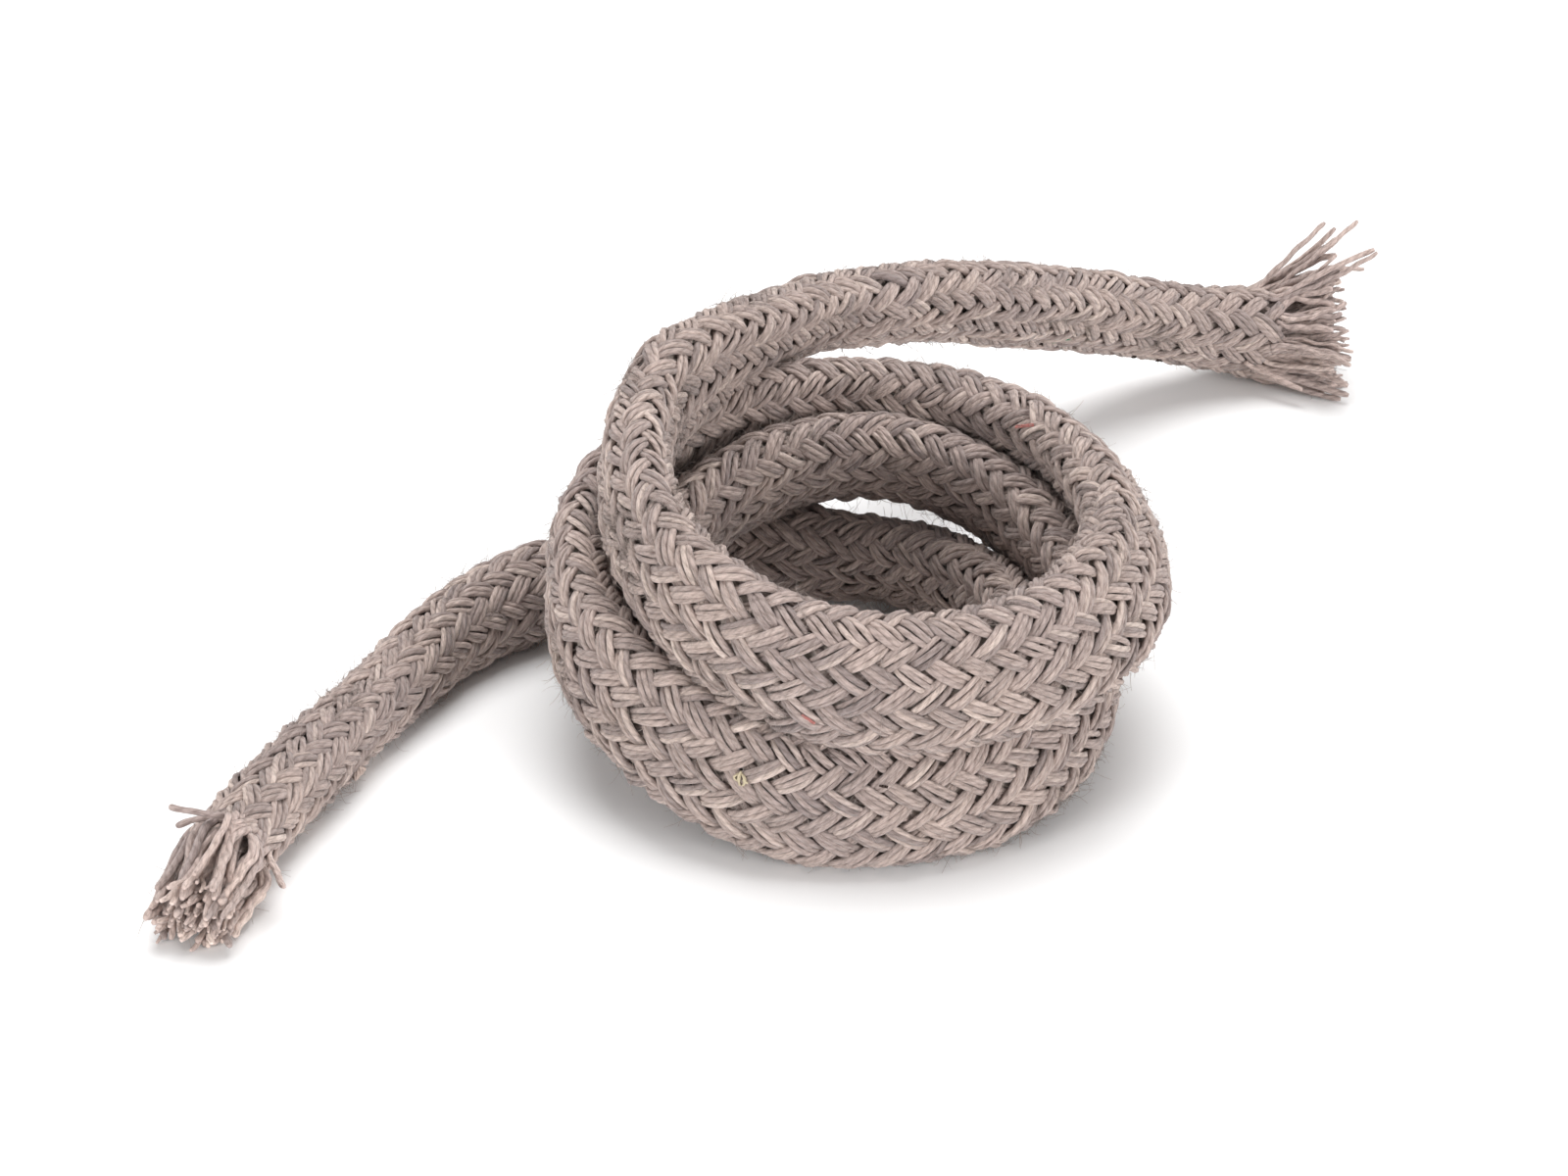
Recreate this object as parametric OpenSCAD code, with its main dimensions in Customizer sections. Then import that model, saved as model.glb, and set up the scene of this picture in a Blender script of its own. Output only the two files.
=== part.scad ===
// Short length of soft braided cord, lying in a loose flat coil of about three turns.
// Both cut ends are frayed. Millimetres, +Z up, front towards -Y.
// The origin is the middle of the bounding box at the surface that the coil lies on.

/* [Cord] */
// Thickness of both tails, as a share of their full 13 to 16 mm
tail_scale = 1; // [0.8:0.05:1]

/* [Coil] */
// Outer radius of the coil's turns
coil_outer_r = 49; // [40:0.5:70]
// Radius of the open middle of the coil
coil_inner_r = 22; // [18:0.5:40]
// Height of the stacked turns
coil_h = 40; // [20:0.5:60]
// Rounding of the coil's edges
coil_round = 5; // [1:0.5:8]

/* [Frayed ends] */
// Length of the loose yarns at the low end, in front of the coil
front_fray_l = 20; // [6:0.5:40]
// Width of the spread yarns at that end
front_fray_w = 21; // [14:0.5:40]
// Length of the loose yarns at the end behind the coil
back_fray_l = 20; // [6:0.5:40]
// Width of the spread yarns at that end
back_fray_w = 32; // [14:0.5:50]

/* [Output] */
// Piece to draw, or all of them

/* [Hidden] */
$fn = 96;
cord_colour = [0.65, 0.58, 0.55];
yarn_colour = [0.70, 0.63, 0.59];
sides = 12;   // corners round a swept section
per_gap = 3;  // rings from one route point to the next

// Each route runs from the frayed end to the coil, and starts from the coil's centre: x, y, z,
// then the half width and half height of the section there.
front_route = [
  [-90, -43, 6,  6, 6],
  [-85, -29, 6,  6, 6],
  [-79, -15, 6,  6, 6],
  [-72, 0, 6,  6, 6],
  [-63, 16, 7,  6, 7],
  [-53, 26, 8,  6, 8],
  [-42, 32, 8,  6, 8],
];
// Its last two points are where the tail lies on top of the coil
back_route = [
  [77, 122, 9,  8.5, 9],
  [65, 118, 12,  8, 8.5],
  [54, 113, 16,  7.5, 7.5],
  [41, 104, 22,  7.5, 7.5],
  [28, 91, 29,  7.5, 7.5],
  [16, 80, 35,  7.5, 7.5],
  [4, 69, 39,  7.5, 7.5],
  [-8, 58, 42,  7.5, 8],
  [-27, 27, 46,  7, 10],
  [-33, 0, 42,  6, 10],
];

function part_of(v, a, b) = [for (i = [a : b]) v[i]];

// A point on the smooth curve through the four points, u of the way from the second to the third
function blend4(p0, p1, p2, p3, u) =
  0.5 * (2 * p1 + (p2 - p0) * u + (2 * p0 - 5 * p1 + 4 * p2 - p3) * u * u
  + (3 * p1 - p0 - 3 * p2 + p3) * u * u * u);

function before(route, i) = i > 0 ? route[i - 1] : 2 * route[0] - route[1];
function after(route, i, n) = i < n - 1 ? route[i + 1] : 2 * route[n - 1] - route[n - 2];

// The route with more points on the smooth curve through its own
function smooth(route, per) =
  let (n = len(route))
  [for (i = [0 : n - 2], k = [0 : per - 1])
     blend4(before(route, i), route[i], route[i + 1], after(route, i + 1, n), k / per),
   route[n - 1]];

function unit(v) = v / norm(v);
function along(line, i, n) = unit(
  part_of(line[min(i + 1, n - 1)], 0, 2) - part_of(line[max(i - 1, 0)], 0, 2));

// One ring of corners across the direction t, with its width level and its height upright
function ring(at, t) =
  let (side = unit(cross(t, [0, 0, 1])), up = cross(side, t))
  [for (k = [0 : sides - 1]) let (a = 360 * k / sides)
     part_of(at, 0, 2) + tail_scale * (side * at[3] * cos(a) + up * at[4] * sin(a))];

function rings(line) = let (n = len(line)) [for (i = [0 : n - 1]) ring(line[i], along(line, i, n))];

// The loose yarns spread from a cut end: the section grows along the direction the end points in
function fray_line(end, t, l, w, rise) =
  [for (k = [0 : 3]) let (u = k / 3, grow = sin(90 * u))
     let (half_w = end[3] + (w / 2 - end[3]) * grow, half_h = end[4] + rise * grow)
     [end[0] + t[0] * l * u, end[1] + t[1] * l * u, end[4] + rise * grow, half_w, half_h]];

front_line = smooth(front_route, per_gap);
back_line = smooth(back_route, per_gap);
front_dir = -along(front_line, 0, len(front_line));
back_dir = -along(back_line, 0, len(back_line));
front_fray = fray_line(front_line[0], front_dir, front_fray_l, front_fray_w, 0.5);
back_fray = fray_line(back_line[0], back_dir, back_fray_l, back_fray_w, 4);

// The whole part is moved so that its bounding box is centred over the origin
corners = [for (line = [front_line, back_line, front_fray, back_fray], at = rings(line), p = at) p];
xs = concat([for (p = corners) p[0]], [-coil_outer_r, coil_outer_r]);
ys = concat([for (p = corners) p[1]], [-coil_outer_r, coil_outer_r]);
centre = [-(min(xs) + max(xs)) / 2, -(min(ys) + max(ys)) / 2, 0];

module sweep(line) {
  n = len(line);
  points = [for (at = rings(line), p = at) p];
  walls = [for (i = [0 : n - 2], k = [0 : sides - 1]) let (j = (k + 1) % sides)
    [i * sides + k, i * sides + j, (i + 1) * sides + j, (i + 1) * sides + k]];
  first = [for (k = [sides - 1 : -1 : 0]) k];
  last = [for (k = [0 : sides - 1]) (n - 1) * sides + k];
  translate(centre) polyhedron(points = points, faces = concat(walls, [first, last]), convexity = 4);
}

// Outer shape of all the turns, with a flat underside
module coil() {
  c = coil_round;
  color(cord_colour) translate(centre) rotate_extrude()
    polygon([
      [coil_inner_r + 1, 0], [coil_outer_r - 1, 0], [coil_outer_r, 2],
      for (a = [0 : 15 : 90]) [coil_outer_r - c + c * cos(a), coil_h - c + c * sin(a)],
      for (a = [90 : 15 : 180]) [coil_inner_r + c + c * cos(a), coil_h - c + c * sin(a)],
      [coil_inner_r, 2],
    ]);
}

module front_tail() { color(cord_colour) sweep(front_line); }
module back_tail() { color(cord_colour) sweep(back_line); }
module front_frayed_end() { color(yarn_colour) sweep(front_fray); }
module back_frayed_end() { color(yarn_colour) sweep(back_fray); }

coil();
front_tail();
back_tail();
front_frayed_end();
back_frayed_end();
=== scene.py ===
"""Short length of soft braided cotton cord in a loose coil of about three turns, both ends frayed.

Metres, +Z up, front towards -Y. The braid is made the way it is plaited: two sets of fourteen strands
wind opposite ways round the cord and pass over two and under two, and each strand is three yarns.
"""
import math

import bpy
import numpy as np
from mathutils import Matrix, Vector


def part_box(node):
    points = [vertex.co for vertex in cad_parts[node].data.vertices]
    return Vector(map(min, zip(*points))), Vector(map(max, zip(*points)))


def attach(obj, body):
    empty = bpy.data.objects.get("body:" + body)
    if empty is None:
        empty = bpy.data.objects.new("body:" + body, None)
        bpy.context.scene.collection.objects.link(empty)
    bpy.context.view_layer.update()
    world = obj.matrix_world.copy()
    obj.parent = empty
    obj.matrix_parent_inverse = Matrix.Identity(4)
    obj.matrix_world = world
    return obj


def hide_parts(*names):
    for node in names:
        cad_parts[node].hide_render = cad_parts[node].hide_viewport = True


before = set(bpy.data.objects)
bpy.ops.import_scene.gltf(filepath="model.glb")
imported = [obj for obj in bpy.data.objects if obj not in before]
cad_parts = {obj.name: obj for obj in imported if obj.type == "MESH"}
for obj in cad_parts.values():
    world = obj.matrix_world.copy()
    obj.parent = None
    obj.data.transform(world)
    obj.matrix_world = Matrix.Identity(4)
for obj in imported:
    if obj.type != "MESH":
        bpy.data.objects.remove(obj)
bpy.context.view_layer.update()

MM = 0.001

# ---------------------------------------------------------------- the cord's sizes, in millimetres
TWIST_LENGTH = 4.2  # in which a yarn's fibres wind once round it
PLIES = 2  # in a yarn
FLAT_HALF = (10.45, 5.35)  # half width and half thickness of the flattened section in the coil
CARRIERS = 28  # strands round the cord, half of them winding each way
YARNS = 3  # yarns side by side in a strand
YARN_R = 0.455
YARN_GAP = 0.78  # from one yarn of a strand to the next where the strand is on top
WEAVE = 0.62  # how far a strand rises over and dips under the braid's middle surface
BRAID_INSET = 1.15  # from the cord's outside to the braid's middle surface
YARN_PROUD = 0.25  # how far a yarn may stand out of the cord's outside
CORE_INSET = 1.85  # from the cord's outside to the filling that shows in the gaps
STEP = 0.6  # between the stations that the route is measured at
RINGS_PER_CYCLE = 12  # rings of a yarn's tube in each over-two-under-two
YARN_SIDES = 6
SHARP = 1.1  # how suddenly a strand goes from over to under
SECTION_POWER = 2.35  # 2 is an ellipse, more is squarer
FULLNESS_POWER = 0.6  # how much thicker yarns lie where the braid is long
LEAST_GAP = 0.02  # between a yarn and the surface that the cord lies on

# ---------------------------------------------------------------- the route, from the coil's centre
# The front tail: x, y, z, half height, half thickness, from the frayed end
FRONT_TAIL = (
    (-90, -43, 6, 6, 6),
    (-85, -29, 6, 6, 6),
    (-79, -15, 6, 6, 6),
    (-72, 0, 6, 6, 6),
    (-63, 16, 7, 7, 6),
    (-53, 26, 8, 8, 6),
    (-42, 32, 8, 8, 6),
    (-22, 36, 9, 9, 5.5),
)
# The coil at each quarter turn from its back, clockwise from above: how far out the cord's middle is,
# its height, and how far the section leans inwards in degrees
COIL_QUARTERS = (
    (36, 10, 30),  # back, on the surface, leaning inwards
    (25, 10, 5),  # right
    (25, 11, 0),  # front
    (32, 17, 10),  # left, rising on to the front tail
    (35, 29, 35),  # back, over the front tail
    (35, 17, 10),  # right, coming down outside the first turn
    (36, 10, 10),  # front, on the surface outside the first turn
    (42, 25, 5),  # left, over the front tail again
    (43, 34, 30),  # back
    (40, 31, 30),  # right, on the turn below
    (35, 30, 10),  # front, on both the turns below
    (33, 42, 5),  # left, upright on the second turn
    (44, 50, 20),  # back, where it goes off over the second turn
)
COIL_STEPS = 16  # points in each turn
COIL_TURNS = 2.875
# The back tail: x, y, z, half width, half thickness, to the frayed end
BACK_TAIL = (
    (-8, 58, 42, 9, 6),
    (4, 69, 39, 9, 6),
    (16, 80, 35, 9, 6),
    (28, 91, 29, 9, 6.5),
    (41, 104, 22, 9, 6.5),
    (54, 113, 16, 9, 6.5),
    (65, 118, 12, 8.5, 7),
    (77, 122, 9, 9, 8),
)
BACK_TAIL_LEAN = (0.5, -0.5, 0.7)  # the section's wide way there
# Specks caught in the cotton: how far along the cord from its front end, share of the way round it,
# size, how stretched, and colour
SPECKS = (
    (870, 0.27, 0.55, 1.0, "green"),
    (872, 0.26, 0.40, 4.0, "green"),
    (895, 0.33, 0.35, 1.0, "brown"),
    (901, 0.33, 0.45, 1.6, "brown"),
    (695, 0.65, 0.42, 2.6, "red"),
    (600, 0.05, 0.60, 3.0, "red"),
    (450, 0.80, 0.75, 1.2, "straw"),
    (431, 0.83, 0.30, 2.0, "brown"),
    (30, 0.33, 0.95, 1.0, "cotton"),
)
SPECK_COLOURS = {
    "green": (0.02, 0.20, 0.10),
    "brown": (0.035, 0.022, 0.018),
    "red": (0.46, 0.19, 0.17),
    "straw": (0.50, 0.43, 0.30),
    "cotton": (0.48, 0.38, 0.335),
}
# Length of cord that one crossing of the braid takes: the pulled tails are longer in the braid
CROSSING = {"front": 2.3, "coil": 2.2, "back": 2.5}

# ---------------------------------------------------------------- loose yarns and fibres
# Each stray yarn: the side of the cord that it starts from, where it points, its length in millimetres,
# and how far back from the cut end it comes out of the braid
FRONT_STRAYS = (
    ((0.1, 0.3, 1), (-1, 0, 0.18), 9.5, 0.5),
    ((-0.5, 0.2, 1), (-1, -0.15, -0.10), 6.5, 1.0),
    ((1, 0.2, 0.2), (0.35, -0.9, -0.2), 9.0, 0.0),
)
BACK_STRAYS = (
    ((-0.5, 0, 1), (0.85, 0.1, 0.95), 17.5, 0.0),
    ((0, 0.2, 1), (1, 0.1, 0.80), 20.0, 0.0),
    ((0, -0.2, 1), (1, 0, 0.66), 21.0, 0.0),
    ((0, 0.5, 1), (1, 0.1, 0.56), 20.5, 0.0),
    ((0, -0.4, 1), (1, 0, 0.42), 22.0, 0.0),
    ((0, 0, 1), (1, 0.1, 0.34), 20.5, 0.0),
    ((0, -1, -0.6), (0.85, -0.5, -0.2), 12.0, 3.0),
    ((0, -1, -0.3), (1, -0.42, 0.1), 13.5, 0.0),
)
# Each frayed end: how far its brush of yarns reaches, where it points, how much it opens, and how many
# untwisted plies are in it
FRONT_FRAY = (15.5, (-0.20, -0.97, -0.12), -0.22, 70)
BACK_FRAY = (14.5, (1, 0.0, 0.05), 0.46, 120)
FRAY_POINTS = 26  # along each loose yarn
FRAY_REACH = (0.84, 1.06)  # shortest and longest loose yarn, as shares of its brush's reach
FRAY_SETTLE = 4.5  # in which a loose yarn turns from the braid's direction to its own
STRAY_SETTLE = 2.5  # the same for a stray yarn
CRIMP = (0.10, 0.34)  # least and most that a loose yarn's direction sways
CRIMP_PITCH = (3.6, 6.5)  # shortest and longest, from one wave to the next
LOOSE_YARN_R = (0.44, 0.58)  # thinnest and thickest, as in PLY_R
STRAY_R = 0.45
PLY_R = (0.24, 0.42)
CORD_HAIR_PIECES = 4
CORD_HAIRS = 6000  # in each of those pieces
HAIR_PATCHES = 40  # matted places in each of those pieces
FRONT_HAIRS = 900
BACK_HAIRS = 1100
HAIR_POINTS = 6
HAIR_LENGTH = (0.7, 4.5)  # shortest and longest
HAIR_R = (0.026, 0.055)  # thinnest and thickest

# ---------------------------------------------------------------- camera and light, in metres
CAMERA_ELEVATION = 30  # degrees
CAMERA_DISTANCE = 0.54
CAMERA_AIM = (-0.011, 0.043, 0.0)  # from the coil's centre
LENS = 75.0  # millimetres
FLOOR_HALF = 4.0
LIGHT_SIZE = 1.6
LIGHT_AIM = (0, 0, 0.02)
LIGHTS = (
    ("top", 34.0, (0.0, 0.45, 1.8)),
    ("left_front", 90.0, (-3.1, -2.5, 0.92)),
    ("right_front", 106.0, (3.05, -2.6, 0.90)),
)
SURROUND = 0.44  # strength of the white all round
FRAY_PAINTED_LIGHTER = 1.25  # how much lighter the loose yarns' tones are painted than the braid's: painted light that makes up for the shade among the loose yarns


# ---------------------------------------------------------------- camera
def make_camera(centre):
    """Looks along +Y and down at the coil."""
    elevation = math.radians(CAMERA_ELEVATION)
    target = centre + Vector(CAMERA_AIM)
    data = bpy.data.cameras.new("camera")
    data.lens, data.sensor_width = LENS, 36.0
    camera = bpy.data.objects.new("camera", data)
    camera.location = target + CAMERA_DISTANCE * Vector((0, -math.cos(elevation), math.sin(elevation)))
    camera.rotation_euler = (target - camera.location).to_track_quat("-Z", "Y").to_euler()
    bpy.context.scene.collection.objects.link(camera)
    bpy.context.scene.camera = camera


# ---------------------------------------------------------------- the route as one smooth line
def catmull_rom(values, at):
    """The smooth curve through values at 0, 1, 2..., read at the numbers in at."""
    values = np.asarray(values, float)
    last = len(values) - 1
    i = np.clip(np.floor(at).astype(int), 0, last - 1)
    u = (at - i).reshape((-1,) + (1,) * (values.ndim - 1))
    p1, p2 = values[i], values[i + 1]
    head = (i > 0).reshape(u.shape)
    tail = (i < last - 1).reshape(u.shape)
    p0 = np.where(head, values[np.maximum(i - 1, 0)], 2 * p1 - p2)
    p3 = np.where(tail, values[np.minimum(i + 2, last)], 2 * p2 - p1)
    return 0.5 * (
        2 * p1
        + (p2 - p0) * u
        + (2 * p0 - 5 * p1 + 4 * p2 - p3) * u**2
        + (3 * p1 - p0 - 3 * p2 + p3) * u**3
    )


def coil_rows():
    """The coil's points at equal steps round it, with the section's wide direction and sizes."""
    n = round(COIL_TURNS * COIL_STEPS) + 1
    turn = np.arange(n) / COIL_STEPS
    radius, height, lean = catmull_rom(COIL_QUARTERS, turn * 4).T
    angle = np.radians(90 - 360 * turn)
    out = np.stack([np.cos(angle), np.sin(angle), np.zeros(n)], 1)
    up = np.array([0, 0, 1.0])
    place = radius[:, None] * out + height[:, None] * up
    lean = np.radians(lean)[:, None]
    wide = np.cos(lean) * up - np.sin(lean) * out
    return np.hstack([place, wide, np.tile(FLAT_HALF, (n, 1)), np.full((n, 1), CROSSING["coil"])])


def tail_rows(points, wide, crossing):
    """A tail's points in the same columns as the coil's."""
    p = np.array(points, float)
    n = len(p)
    return np.hstack([p[:, :3], np.tile(wide, (n, 1)), p[:, 3:], np.full((n, 1), crossing)])


def wobble(n, every, size, r, count=1):
    """Smooth random numbers along n stations, with a new one each few stations, for each of count."""
    knots = r.normal(0, size, (n // every + 4, count))
    return catmull_rom(knots, np.arange(n) / every).T


class Route:
    """The cord's middle line and its section at stations a fixed distance apart."""

    def __init__(self, centre):
        rows = np.vstack([
            tail_rows(FRONT_TAIL, (0, 0, 1), CROSSING["front"]),
            coil_rows(),
            tail_rows(BACK_TAIL, BACK_TAIL_LEAN, CROSSING["back"]),
        ])
        fine = catmull_rom(rows, np.linspace(0, len(rows) - 1, 60 * len(rows)))
        length = np.concatenate([[0], np.cumsum(np.linalg.norm(np.diff(fine[:, :3], axis=0), axis=1))])
        self.n = int(length[-1] / STEP)
        self.s = np.linspace(0, length[-1], self.n)
        rows = np.stack([np.interp(self.s, length, fine[:, k]) for k in range(fine.shape[1])], 1)
        self.length = length[-1]
        self.line = rows[:, :3] + np.array([centre.x, centre.y, 0]) / MM
        self.half = rows[:, 6:8]
        r = np.random.default_rng(1)
        width_wobble = wobble(self.n, 22, 0.018, r)
        thickness_wobble = wobble(self.n, 17, 0.03, r)
        self.half = self.half * (1 + np.vstack([width_wobble, thickness_wobble]).T)
        self.drift = wobble(self.n, 80, 0.03, r)[0]  # how far the braid's rows wander round the cord
        self.crossing = np.cumsum(np.gradient(self.s) / rows[:, 8])
        self.fullness = (rows[:, 8] / CROSSING["coil"]) ** FULLNESS_POWER
        t = np.gradient(self.line, axis=0)
        self.t = t / np.linalg.norm(t, axis=1)[:, None]
        wide = rows[:, 3:6] - (rows[:, 3:6] * self.t).sum(1)[:, None] * self.t
        wide /= np.linalg.norm(wide, axis=1)[:, None]
        turn = np.radians(wobble(self.n, 40, 3.0, r)).T  # the section is never quite square on
        self.wide = np.cos(turn) * wide + np.sin(turn) * np.cross(self.t, wide)
        self.thin = np.cross(self.t, self.wide)
        # no part of the cord is below the surface that it lies on
        power = SECTION_POWER / (SECTION_POWER - 1)
        drop = np.abs(self.half * np.stack([self.wide[:, 2], self.thin[:, 2]], 1)) ** power
        drop = drop.sum(1) ** (1 / power) + YARN_PROUD
        self.line[:, 2] = np.maximum(self.line[:, 2], drop)

    def sections(self, inset, columns=96):
        """For each station, the section's outline at equal steps round it, and its outward direction."""
        a = np.linspace(0, 2 * np.pi, 4 * columns + 1)
        c, s = np.cos(a), np.sin(a)
        k = (np.abs(c) ** SECTION_POWER + np.abs(s) ** SECTION_POWER) ** (-1 / SECTION_POWER)
        half = self.half - inset
        x, y = half[:, :1] * k * c, half[:, 1:] * k * s
        run = np.hypot(np.diff(x, axis=1), np.diff(y, axis=1)).cumsum(1)
        run = np.hstack([np.zeros((self.n, 1)), run])
        around = run[:, -1]
        share = np.arange(columns) / columns
        xy = np.empty((self.n, columns, 2))
        for i in range(self.n):
            xy[i, :, 0] = np.interp(share * around[i], run[i], x[i])
            xy[i, :, 1] = np.interp(share * around[i], run[i], y[i])
        q = SECTION_POWER - 1
        out = np.sign(xy) * np.abs(xy / half[:, None]) ** q / half[:, None]
        out /= np.linalg.norm(out, axis=2)[:, :, None]
        return xy, out, around


class Surface:
    """Places points on, above or below a smooth surface a fixed depth inside the cord's outside."""

    def __init__(self, route, inset):
        self.route = route
        self.xy, self.out, self.around = route.sections(inset)
        self.columns = self.xy.shape[1]

    def at(self, station, share, lift=0.0):
        """Points and outward directions at station numbers and shares of the way round."""
        route = self.route
        i = np.clip(np.floor(station).astype(int), 0, route.n - 2)
        u = (station - i)[..., None]
        f = (share % 1.0) * self.columns
        j = np.floor(f).astype(int)
        w = (f - j)[..., None]
        j, j2 = j % self.columns, (j + 1) % self.columns

        def on_outline(table):
            low = table[i, j] * (1 - w) + table[i, j2] * w
            high = table[i + 1, j] * (1 - w) + table[i + 1, j2] * w
            return low * (1 - u) + high * u

        def on_line(table):
            return table[i] * (1 - u) + table[i + 1] * u

        xy, out = on_outline(self.xy), on_outline(self.out)
        wide, thin = on_line(route.wide), on_line(route.thin)
        normal = out[..., :1] * wide + out[..., 1:] * thin
        normal /= np.linalg.norm(normal, axis=-1)[..., None]
        point = on_line(route.line) + xy[..., :1] * wide + xy[..., 1:] * thin
        return point + np.asarray(lift)[..., None] * normal, normal


# ---------------------------------------------------------------- meshes
def new_mesh(name, points, faces, start, uvs=None, tint=None):
    """A mesh object from flat arrays: points in millimetres, face corners, and each face's first one."""
    mesh = bpy.data.meshes.new(name)
    mesh.vertices.add(len(points))
    mesh.vertices.foreach_set("co", (np.asarray(points) * MM).astype(np.float32).ravel())
    mesh.loops.add(len(faces))
    mesh.loops.foreach_set("vertex_index", np.asarray(faces, np.int32))
    mesh.polygons.add(len(start))
    mesh.polygons.foreach_set("loop_start", np.asarray(start, np.int32))
    mesh.polygons.foreach_set("use_smooth", np.full(len(start), True))
    for layer, values in (uvs or {}).items():
        uv = mesh.uv_layers.new(name=layer)
        uv.data.foreach_set("uv", values.astype(np.float32).ravel())
    if tint is not None:
        mesh.attributes.new("tint", "FLOAT", "POINT").data.foreach_set("value", tint.astype(np.float32))
    mesh.update()
    mesh.validate()
    obj = bpy.data.objects.new(name, mesh)
    bpy.context.scene.collection.objects.link(obj)
    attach(obj, "root")
    return obj


def tubes(name, paths, normals, radius, tint, sides=YARN_SIDES, flat=1.0, rows_each=10):
    """Closed tubes along paths, all with the same number of points.

    paths and normals are (tube, point, 3), radius (tube, point) and tint (tube, point). flat is how
    much wider than tall a tube's section is. The "fibre" UV gives the length along a yarn and the way
    round it, and "OFBake" lays each yarn out in rows_each strips.
    """
    count, n = paths.shape[:2]
    tangent = np.gradient(paths, axis=1)
    tangent /= np.linalg.norm(tangent, axis=2)[..., None] + 1e-9
    side = np.cross(tangent, normals)
    side /= np.linalg.norm(side, axis=2)[..., None] + 1e-9
    up = np.cross(side, tangent)
    a = 2 * np.pi * np.arange(sides) / sides + np.pi  # the seam is underneath
    ring = np.cos(a)[:, None] * up[:, :, None] + flat * np.sin(a)[:, None] * side[:, :, None]
    points = paths[:, :, None] + radius[:, :, None, None] * ring
    base = (np.arange(count) * n * sides)[:, None, None]
    k, j = np.arange(n - 1)[None, :, None] * sides, np.arange(sides)[None, None]
    j2 = (j + 1) % sides
    quads = np.stack([base + k + j, base + k + j2, base + k + sides + j2, base + k + sides + j], -1)
    first = base[:, 0] + np.arange(sides)[::-1]
    last = base[:, 0] + (n - 1) * sides + np.arange(sides)
    faces = np.concatenate([quads.ravel(), first.ravel(), last.ravel()])
    quad_count = count * (n - 1) * sides
    start = np.concatenate([
        np.arange(quad_count) * 4,
        quad_count * 4 + np.arange(2 * count) * sides,
    ])
    # texture places for the four corners of each quad, then for the end caps
    run = np.concatenate([np.zeros((count, 1)), np.linalg.norm(np.diff(paths, axis=1), axis=2).cumsum(1)], 1)
    along = np.stack([run[:, :-1], run[:, :-1], run[:, 1:], run[:, 1:]], -1)[:, :, None].repeat(sides, 2)
    around = np.stack([j, j + 1, j + 1, j], -1) / sides
    around = np.broadcast_to(around, along.shape)
    offset = np.arange(count)[:, None, None, None] * 37.0  # each tube has its own part of the pattern
    fibre = np.stack([along + offset, around], -1).reshape(-1, 2)
    per_row = math.ceil((n - 1) / rows_each)
    step = np.arange(n - 1)
    strip = np.arange(count)[:, None] * rows_each + step // per_row
    x0 = (step % per_row) / per_row
    x = np.stack([x0, x0, x0 + 1 / per_row, x0 + 1 / per_row], -1)[None, :, None]
    total = count * rows_each
    y = (strip[:, :, None, None] + 0.15 + 0.7 * around) / total  # with a margin between strips
    x = np.broadcast_to(x, y.shape)
    bake = np.stack([x, y], -1).reshape(-1, 2)
    caps = fibre[:1].repeat(2 * count * sides, 0)
    cap_row = (np.arange(len(caps)) // sides) % count * rows_each + 0.5
    cap_bake = np.stack([0 * caps[:, 0], cap_row / total], 1)
    uvs = {"fibre": np.vstack([fibre, caps]), "OFBake": np.vstack([bake, cap_bake])}
    return new_mesh(name, points.reshape(-1, 3), faces, start, uvs, tint.repeat(sides, 1).ravel())


# ---------------------------------------------------------------- the braid
def over_under(u):
    """+1 where the first set of strands is on top and -1 where it is underneath, with soft changes."""
    return np.tanh(SHARP * np.sin(0.5 * np.pi * (u + 0.5))) / math.tanh(SHARP)


def strand_paths(route, surface, strand, way, r):
    """The yarns of one strand: way is -1 or +1, the direction that it winds in."""
    crossings = route.crossing[-1]
    n = int(crossings * RINGS_PER_CYCLE / 4)
    stations = np.arange(route.n)
    v = np.linspace(r.uniform(0, 1.6), crossings - r.uniform(0, 1.6), n)  # cut ends are never even
    u = 2 * strand + way * v
    station = np.interp(v, route.crossing, stations)
    size_u = np.interp(station, stations, surface.around) / CARRIERS
    size_v = np.interp(station, stations, np.gradient(route.s) / np.gradient(route.crossing))
    norm = np.hypot(size_u, size_v)
    top = 0.5 - 0.5 * way * over_under(u)  # 1 on top, 0 underneath
    # the yarns spread out where the strand is on top, and draw together where it goes under
    member = np.arange(YARNS)[:, None] - (YARNS - 1) / 2
    across = member * YARN_GAP * (0.60 + 0.40 * top)
    across = across * (1 + wobble(n, 7, 0.13, r)) + wobble(n, 5, 0.11, r, YARNS) + wobble(n, 9, 0.20, r)
    u = u + across * size_v / (norm * size_u)
    v = v - way * across * size_u / (norm * size_v)
    rise = -way * over_under(u - across / 1.6)
    bulge = 0.13 * (1 - member**2) * top
    lift = WEAVE * rise + bulge + wobble(n, 6, 0.15, r, YARNS) + wobble(n, 11, 0.09, r)
    station = np.interp(v, route.crossing, stations)
    share = u / CARRIERS + np.interp(station, stations, route.drift)
    return surface.at(station, share, lift)


def yarn_tints(count, n, r):
    """Each yarn's own shade, drifting a little along its length."""
    return np.clip(r.normal(0.5, 0.22, (count, 1)) + wobble(n, 40, 0.14, r, count), 0, 1)


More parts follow.
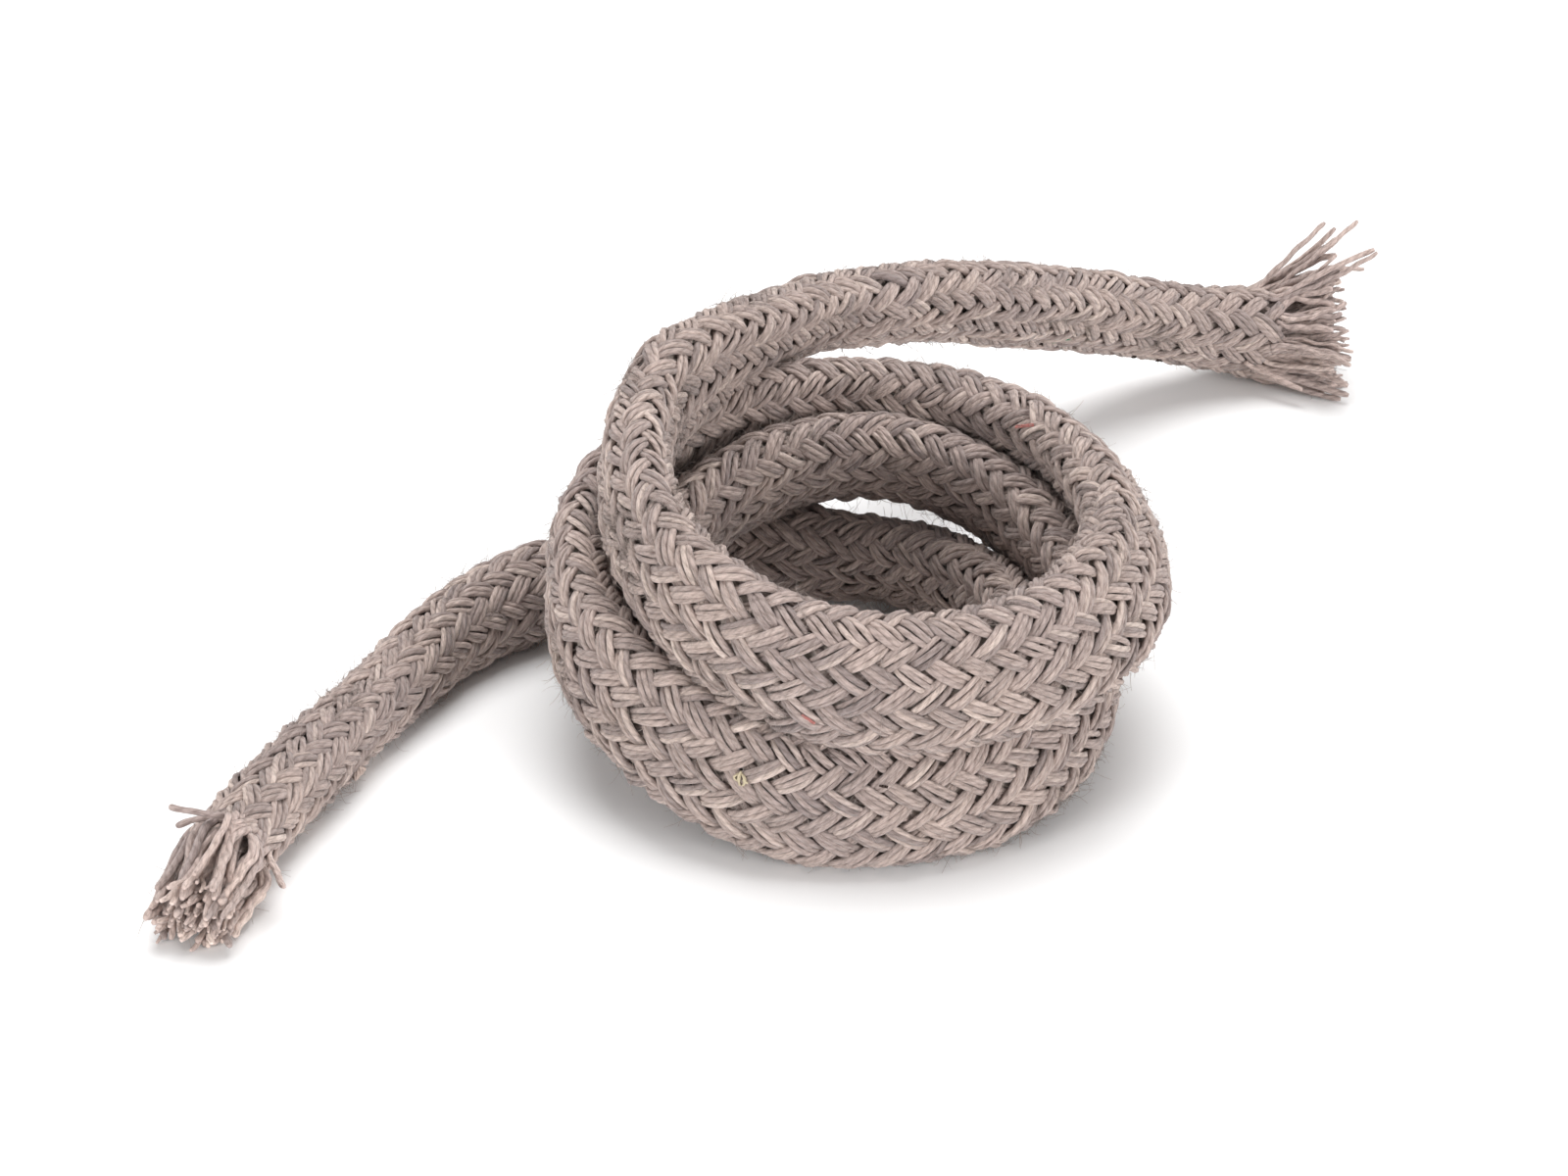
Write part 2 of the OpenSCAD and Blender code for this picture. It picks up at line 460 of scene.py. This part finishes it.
def make_braid(route, surface):
    """Pieces of two strands each that wind the same way, so that each is a moderate mesh."""
    made, ends = [], {0: [], -1: []}
    for way, label in ((-1, "left"), (1, "right")):
        for pair in range(CARRIERS // 4):
            r = np.random.default_rng(200 + 17 * pair + 50 * way)
            both = [strand_paths(route, surface, s, way, r) for s in (2 * pair, 2 * pair + 1)]
            paths = np.concatenate([points for points, _ in both])
            normals = np.concatenate([out for _, out in both])
            count, n = paths.shape[:2]
            radius = YARN_R * (1 + r.normal(0, 0.05, (count, 1)) + wobble(n, 11, 0.05, r, count))
            radius *= np.interp(np.linspace(0, 1, n), np.linspace(0, 1, route.n), route.fullness)
            # yarns that touch the surface under the cord are pressed flat on it
            paths[:, :, 2] = np.maximum(paths[:, :, 2], radius + LEAST_GAP)
            name = f"strands_{label}_{pair + 1}"
            made.append(tubes(name, paths, normals, radius, yarn_tints(count, n, r), flat=1.08))
            ends[0].append(np.stack([paths[:, 0], paths[:, 0] - paths[:, 1]], 1))
            ends[-1].append(np.stack([paths[:, -1], paths[:, -1] - paths[:, -2]], 1))
    return made, {end: np.concatenate(rows) for end, rows in ends.items()}


def make_core(route):
    """The cord's filling: a plain tube inside the braid, coloured dark as painted shade in the gaps between
    the strands.
    """
    skin = Surface(route, CORE_INSET)
    stations = np.arange(0, route.n - 1, 5)
    columns = 28
    share = np.arange(columns) / columns
    station_grid, share_grid = np.meshgrid(stations, share, indexing="ij")
    ring, _ = skin.at(station_grid, share_grid)
    rows = len(stations)
    k, j = np.arange(rows - 1)[:, None] * columns, np.arange(columns)[None]
    j2 = (j + 1) % columns
    quads = np.stack([k + j, k + j2, k + columns + j2, k + columns + j], -1)
    first, last = np.arange(columns)[::-1], (rows - 1) * columns + np.arange(columns)
    faces = np.concatenate([quads.ravel(), first, last])
    start = np.concatenate([np.arange(quads.shape[0] * columns) * 4, quads.size + np.array([0, columns])])
    core = new_mesh("cord_core", ring.reshape(-1, 3), faces, start)
    return core, route.line[stations] * MM


# ---------------------------------------------------------------- frayed ends
def unit(vectors):
    """The same directions with length 1."""
    return vectors / np.linalg.norm(vectors, axis=-1)[..., None]


def frayed_end(name, route, ends, end, length, heading, fan, plies, strays, r):
    """The loose yarns past a cut end: the braid's own yarns go on, with untwisted plies among them."""
    points = FRAY_POINTS
    middle, wide, thin = route.line[end], route.wide[end], route.thin[end]
    axis = unit(np.array(heading, float))
    spot = r.uniform(-0.75, 0.75, (plies, 2)) * (route.half[end] - 1.5)
    inside = middle + spot[:, :1] * wide + spot[:, 1:] * thin - 2.0 * axis
    start = np.vstack([ends[end][:, 0], inside])
    leave = unit(np.vstack([ends[end][:, 1], np.tile(axis, (plies, 1))]))
    count = len(start)
    off = start - middle
    off = (off - (off @ axis)[:, None] * axis) / route.half[end].max()
    aim = axis + fan * off * r.uniform(0.5, 1.5, (count, 1)) + r.normal(0, 0.12, (count, 3))
    aim = unit(aim)
    reach = length * r.uniform(*FRAY_REACH, count) - (start - middle) @ axis
    reach /= np.clip(aim @ axis, 0.5, 1)
    taken, settle = np.zeros(count), np.full(count, FRAY_SETTLE)
    inward = 1 if end == 0 else -1
    for side, way, run, back in strays:
        pick = int(np.argmax(off @ np.array(side, float) - taken))
        taken[pick] = 9  # more than any side's score, so that no yarn is picked twice
        settle[pick], aim[pick], reach[pick] = STRAY_SETTLE, unit(np.array(way, float)), run
        start[pick] += route.line[end + inward * int(back / STEP)] - middle
    curl = unit(np.cross(aim, r.normal(0, 1, (count, 3))))
    crimp, phase = r.uniform(*CRIMP, count), r.uniform(0, 2 * np.pi, count)
    pitch = r.uniform(*CRIMP_PITCH, count)
    bend = np.cross(aim, r.normal(0, 0.30, (count, 3)))
    radius = np.concatenate([r.uniform(*LOOSE_YARN_R, len(ends[end])), r.uniform(*PLY_R, plies)])
    radius[taken > 0] = STRAY_R
    crimp[taken > 0] *= 0.5
    paths = np.empty((count, points, 3))
    here = start.copy()
    for k in range(points):
        paths[:, k] = here
        run = reach * k / (points - 1)
        turn = np.clip(run / settle, 0, 1)[:, None]
        wave = np.cos(phase + 2 * np.pi * run / pitch) * crimp
        way = leave * (1 - turn) + aim * turn + wave[:, None] * curl * turn + bend * (k / points) ** 2
        here = here + (reach / (points - 1))[:, None] * unit(way)
        low = radius + 0.05
        here[:, 2] = np.maximum(here[:, 2], low + 0.15 * np.clip(low - here[:, 2], 0, 2))
    shape = np.interp(np.linspace(0, 1, points), [0, 0.25, 0.9, 0.97, 1], [1, 1.12, 1.1, 1.05, 0.72])
    radius = radius[:, None] * shape * (1 + wobble(points, 4, 0.07, r, count))
    up = unit(np.cross(curl, aim))[:, None].repeat(points, 1)
    piece = tubes(name, paths, up, radius, yarn_tints(count, points, r), rows_each=1)
    return piece, paths


# ---------------------------------------------------------------- loose fibres
def make_fuzz(name, start, normal, r):
    """Fine hairs that stand off the cotton, each from a point and its outward direction."""
    count, n = len(start), HAIR_POINTS
    lay = unit(np.cross(normal, r.normal(0, 1, (count, 3))))
    length = np.clip(r.lognormal(0.60, 0.50, count), *HAIR_LENGTH)
    stand = r.uniform(0.1, 1.0, (count, 1))
    curve = r.normal(0, 1.0, (count, 3))
    paths = np.empty((count, n, 3))
    here = start - 0.3 * normal
    for k in range(n):
        paths[:, k] = here
        run = k / (n - 1)
        way = unit(lay + stand * normal * (1 - 0.6 * run) + curve * run)
        here = here + (length / (n - 1))[:, None] * way
    paths[:, :, 2] = np.maximum(paths[:, :, 2], 0.1)
    radius = r.uniform(*HAIR_R, (count, 1)) * np.linspace(1, 0.5, n)[None]
    normals = np.broadcast_to(normal[:, None], paths.shape)
    return tubes(name, paths, normals, radius, np.full((count, n), 0.9), sides=3, rows_each=1)


def fuzz_on_cord(name, route, count, r):
    """Hairs all over the cord, half of them in matted patches."""
    skin = Surface(route, 0.3)
    station, share = r.uniform(20, route.n - 20, count), r.random(count)
    patch = r.integers(0, HAIR_PATCHES, count // 2)
    station[: count // 2] = station[patch] + r.normal(0, 6, count // 2)
    share[: count // 2] = share[patch] + r.normal(0, 0.04, count // 2)
    return make_fuzz(name, *skin.at(station, share), r)


def fuzz_on_yarns(name, paths, count, r):
    """Hairs on loose yarns, mostly towards their tips."""
    yarn = r.integers(0, len(paths), count)
    at = (paths.shape[1] - 2) * r.random(count) ** 0.6
    start = paths[yarn, at.astype(int)]
    along = paths[yarn, at.astype(int) + 1] - start
    return make_fuzz(name, start, unit(np.cross(along, r.normal(0, 1, (count, 3)))), r)


def make_specks(name, route, r):
    """Tiny tangles of dyed or dirty fibre that the cotton was spun with."""
    place, share, size, stretch = (np.array([speck[k] for speck in SPECKS]) for k in range(4))
    count, points = len(SPECKS), 90
    station = place / STEP
    middle, out = Surface(route, 0.15).at(station, share)
    along = route.t[station.astype(int)]
    across = unit(np.cross(out, along))
    phase = r.uniform(0, 2 * np.pi, (3, count, 1))
    a = np.linspace(0, 2 * np.pi, points)[None]
    knot = [np.sin(turns * a + p) for turns, p in zip((3, 4, 7), phase)]
    lean = r.uniform(-0.8, 0.8, (count, 1))
    first, second = unit(along + lean * across), unit(across - lean * along)
    reach = (size * stretch, size / stretch, 0.45 * size / stretch)
    paths = np.repeat(middle[:, None], points, 1)
    for far, loops, axis in zip(reach, knot, (first, second, out)):
        paths += (far[:, None] * loops)[..., None] * axis[:, None]
    radius = np.repeat((0.22 * size / np.sqrt(stretch))[:, None], points, 1)
    colours = list(SPECK_COLOURS)
    tint = np.array([colours.index(speck[4]) / (len(colours) - 1) for speck in SPECKS])
    tints = np.repeat(tint[:, None], points, 1)
    return tubes(name, paths, np.broadcast_to(out[:, None], paths.shape), radius, tints, rows_each=1)


# ---------------------------------------------------------------- materials
def node(tree, kind, **values):
    """A shader node with its settings or inputs given by name."""
    made = tree.nodes.new(kind)
    for key, value in values.items():
        if hasattr(made, key):
            setattr(made, key, value)
        else:
            made.inputs[key.replace("_", " ")].default_value = value
    return made


def maths(tree, operation, *values):
    """The result of one operation on numbers or other nodes' outputs."""
    made = tree.nodes.new("ShaderNodeMath")
    made.operation = operation
    for socket, value in zip(made.inputs, values):
        if isinstance(value, (int, float)):
            socket.default_value = value
        else:
            tree.links.new(value, socket)
    return made.outputs[0]


def ramp(tree, fac, stops):
    """The colour for fac on a scale with a colour at each stop."""
    made = tree.nodes.new("ShaderNodeValToRGB")
    elements = made.color_ramp.elements
    while len(elements) < len(stops):
        elements.new(0.5)
    for element, (at, colour) in zip(elements, stops):
        element.position = at
        element.color = (*colour, 1)
    tree.links.new(fac, made.inputs["Fac"])
    return made.outputs["Color"]


def mix(tree, colour, shade, amount):
    """The colour multiplied by a shade, as far as amount from 0 to 1 says."""
    made = tree.nodes.new("ShaderNodeMix")
    made.data_type = "RGBA"
    made.blend_type = "MULTIPLY"
    tree.links.new(colour, made.inputs["A"])
    tree.links.new(shade, made.inputs["B"])
    made.inputs["Factor"].default_value = amount
    return made.outputs["Result"]


def cotton(name, tones):
    """Spun cotton yarn: each yarn its own tone, a twist along it, fine streaks of fibre, and painted shade
    in the grooves between its plies.
    """
    material = bpy.data.materials.new(name)
    material.use_nodes = True
    tree = material.node_tree
    shader = tree.nodes["Principled BSDF"]
    shader.inputs["Sheen Weight"].default_value = 0.25
    shader.inputs["Sheen Roughness"].default_value = 0.5
    shader.inputs["Specular IOR Level"].default_value = 0.25
    # millimetres along a yarn and turns round it, slanted so that the fibres wind round it
    uv = node(tree, "ShaderNodeUVMap", uv_map="fibre")
    split = tree.nodes.new("ShaderNodeSeparateXYZ")
    tree.links.new(uv.outputs["UV"], split.inputs[0])
    along, around = split.outputs["X"], split.outputs["Y"]
    slanted = maths(tree, "MULTIPLY_ADD", around, TWIST_LENGTH, along)
    ply = maths(tree, "SINE", maths(tree, "MULTIPLY", slanted, 2 * math.pi * PLIES / TWIST_LENGTH))
    place = tree.nodes.new("ShaderNodeCombineXYZ")
    tree.links.new(maths(tree, "MULTIPLY", slanted, 0.45), place.inputs["X"])
    tree.links.new(maths(tree, "MULTIPLY", around, 6.0), place.inputs["Y"])
    streak = node(tree, "ShaderNodeTexNoise", Scale=1.6, Detail=5.0, Roughness=0.7)
    tree.links.new(place.outputs[0], streak.inputs["Vector"])
    space = tree.nodes.new("ShaderNodeTexCoord")
    patch = node(tree, "ShaderNodeTexNoise", Scale=70.0, Detail=2.0)
    tree.links.new(space.outputs["Object"], patch.inputs["Vector"])
    fleck = node(tree, "ShaderNodeTexNoise", Scale=900.0, Detail=2.0)
    tree.links.new(space.outputs["Object"], fleck.inputs["Vector"])
    tint = node(tree, "ShaderNodeAttribute", attribute_name="tint")
    colour = ramp(tree, tint.outputs["Fac"], tones)
    streaks = ramp(tree, streak.outputs["Fac"], ((0.32, (0.50, 0.47, 0.45)), (0.58, (1.0, 1.0, 1.0))))
    patches = ramp(tree, patch.outputs["Fac"], ((0.35, (0.88, 0.88, 0.90)), (0.65, (1.0, 1.0, 1.0))))
    flecks = ramp(tree, fleck.outputs["Fac"], ((0.30, (0.70, 0.69, 0.70)), (0.42, (1.0, 1.0, 1.0))))
    # painted shade: the colour is darkened in the grooves between the plies
    ridge = maths(tree, "MULTIPLY_ADD", ply, 0.5, 0.5)
    painted_groove_shade = ramp(tree, ridge, ((0.02, (0.62, 0.60, 0.59)), (0.35, (1.0, 1.0, 1.0))))
    colour = mix(tree, colour, painted_groove_shade, 0.55)
    colour = mix(tree, colour, streaks, 0.9)
    colour = mix(tree, colour, patches, 1.0)
    colour = mix(tree, colour, flecks, 0.6)
    tree.links.new(colour, shader.inputs["Base Color"])
    rough = node(tree, "ShaderNodeMapRange", To_Min=0.82, To_Max=0.97)
    tree.links.new(streak.outputs["Fac"], rough.inputs["Value"])
    tree.links.new(rough.outputs["Result"], shader.inputs["Roughness"])
    height = maths(tree, "MULTIPLY_ADD", ply, 0.25, streak.outputs["Fac"])
    relief = node(tree, "ShaderNodeBump", Strength=0.8, Distance=0.0004)
    tree.links.new(height, relief.inputs["Height"])
    tree.links.new(relief.outputs["Normal"], shader.inputs["Normal"])
    return material


def dyed(name, colours):
    """Dull fibre, with a colour for each equal step of the tint."""
    material = bpy.data.materials.new(name)
    material.use_nodes = True
    tree = material.node_tree
    shader = tree.nodes["Principled BSDF"]
    shader.inputs["Roughness"].default_value = 0.9
    shader.inputs["Specular IOR Level"].default_value = 0.2
    tint = node(tree, "ShaderNodeAttribute", attribute_name="tint")
    stops = [(k / (len(colours) - 1), colour) for k, colour in enumerate(colours)]
    tree.links.new(ramp(tree, tint.outputs["Fac"], stops), shader.inputs["Base Color"])
    return material


def filling(name):
    """The shaded cotton inside the braid."""
    material = bpy.data.materials.new(name)
    material.use_nodes = True
    tree = material.node_tree
    shader = tree.nodes["Principled BSDF"]
    shader.inputs["Roughness"].default_value = 0.95
    space = tree.nodes.new("ShaderNodeTexCoord")
    fibres = node(tree, "ShaderNodeTexNoise", Scale=1400.0, Detail=4.0)
    tree.links.new(space.outputs["Object"], fibres.inputs["Vector"])
    # painted shade: the filling is coloured much darker than the yarns, for the shade in the gaps between
    # the strands
    colour = ramp(tree, fibres.outputs["Fac"], ((0.3, (0.26, 0.215, 0.190)), (0.7, (0.42, 0.355, 0.315))))
    tree.links.new(colour, shader.inputs["Base Color"])
    relief = node(tree, "ShaderNodeBump", Strength=0.6, Distance=0.0003)
    tree.links.new(fibres.outputs["Fac"], relief.inputs["Height"])
    tree.links.new(relief.outputs["Normal"], shader.inputs["Normal"])
    return material


# ---------------------------------------------------------------- studio
def plain(name, colour, roughness):
    """A dull material of one colour."""
    material = bpy.data.materials.new(name)
    material.use_nodes = True
    shader = material.node_tree.nodes["Principled BSDF"]
    shader.inputs["Base Color"].default_value = (*colour, 1)
    shader.inputs["Roughness"].default_value = roughness
    shader.inputs["Specular IOR Level"].default_value = 0.1
    return material


def area_light(name, power, place):
    """A round light at place that points at LIGHT_AIM."""
    data = bpy.data.lights.new(name, "AREA")
    data.shape, data.size, data.energy = "DISK", LIGHT_SIZE, power
    light = bpy.data.objects.new(name, data)
    light.location = place
    light.rotation_euler = (Vector(LIGHT_AIM) - Vector(place)).to_track_quat("-Z", "Y").to_euler()
    bpy.context.scene.collection.objects.link(light)


def make_studio():
    """A white floor, white all round, and the lights."""
    mesh = bpy.data.meshes.new("floor")
    f = FLOOR_HALF
    mesh.from_pydata([(-f, -f, 0), (f, -f, 0), (f, f, 0), (-f, f, 0)], [], [(0, 1, 2, 3)])
    floor = bpy.data.objects.new("floor", mesh)
    floor.data.materials.append(plain("floor_white", (0.93, 0.93, 0.93), 0.9))
    bpy.context.scene.collection.objects.link(floor)
    world = bpy.data.worlds.new("studio")
    world.use_nodes = True
    world.node_tree.nodes["Background"].inputs["Color"].default_value = (1.0, 1.0, 1.0, 1)
    world.node_tree.nodes["Background"].inputs["Strength"].default_value = SURROUND
    bpy.context.scene.world = world
    for light in LIGHTS:
        area_light(*light)
    bpy.context.scene.view_settings.view_transform = "Standard"


# ---------------------------------------------------------------- build
low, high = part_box("coil")
COIL_CENTRE = Vector(((low[0] + high[0]) / 2, (low[1] + high[1]) / 2, 0))
make_camera(COIL_CENTRE)
route = Route(COIL_CENTRE)
core, path = make_core(route)
braid_surface = Surface(route, BRAID_INSET)
strands, yarn_ends = make_braid(route, braid_surface)
loose = np.random.default_rng(31)
front_fray, front_yarns = frayed_end("yarns_front", route, yarn_ends, 0, *FRONT_FRAY, FRONT_STRAYS, loose)
back_fray, back_yarns = frayed_end("yarns_back", route, yarn_ends, -1, *BACK_FRAY, BACK_STRAYS, loose)
fuzz = []
for k in range(CORD_HAIR_PIECES):
    fuzz.append(fuzz_on_cord(f"loose_fibres_{k + 1}", route, CORD_HAIRS, loose))
fuzz.append(fuzz_on_yarns("loose_fibres_front", front_yarns, FRONT_HAIRS, loose))
fuzz.append(fuzz_on_yarns("loose_fibres_back", back_yarns, BACK_HAIRS, loose))
specks = make_specks("specks", route, loose)

yarn_tones = (
    (0.00, (0.35, 0.280, 0.260)),
    (0.35, (0.49, 0.390, 0.353)),
    (0.65, (0.58, 0.460, 0.412)),
    (1.00, (0.73, 0.600, 0.532)),
)
braid_cotton = cotton("braid_cotton", yarn_tones)
# painted light: the frayed yarns get a lighter copy of the braid's tones, to make up for the shade in the
# brush
fray_painted_light_tones = tuple((at, tuple(FRAY_PAINTED_LIGHTER * c for c in tone)) for at, tone in yarn_tones)
fray_cotton_painted_light = cotton("frayed_cotton_painted_light", fray_painted_light_tones)
core.data.materials.append(filling("cord_filling_painted_shade"))
for piece in (*strands, *fuzz):
    piece.data.materials.append(braid_cotton)
for piece in (front_fray, back_fray):
    piece.data.materials.append(fray_cotton_painted_light)
specks.data.materials.append(dyed("speck_fibre", list(SPECK_COLOURS.values())))

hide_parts("coil", "front_tail", "back_tail")
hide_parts("front_frayed_end")
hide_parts("back_frayed_end")
make_studio()
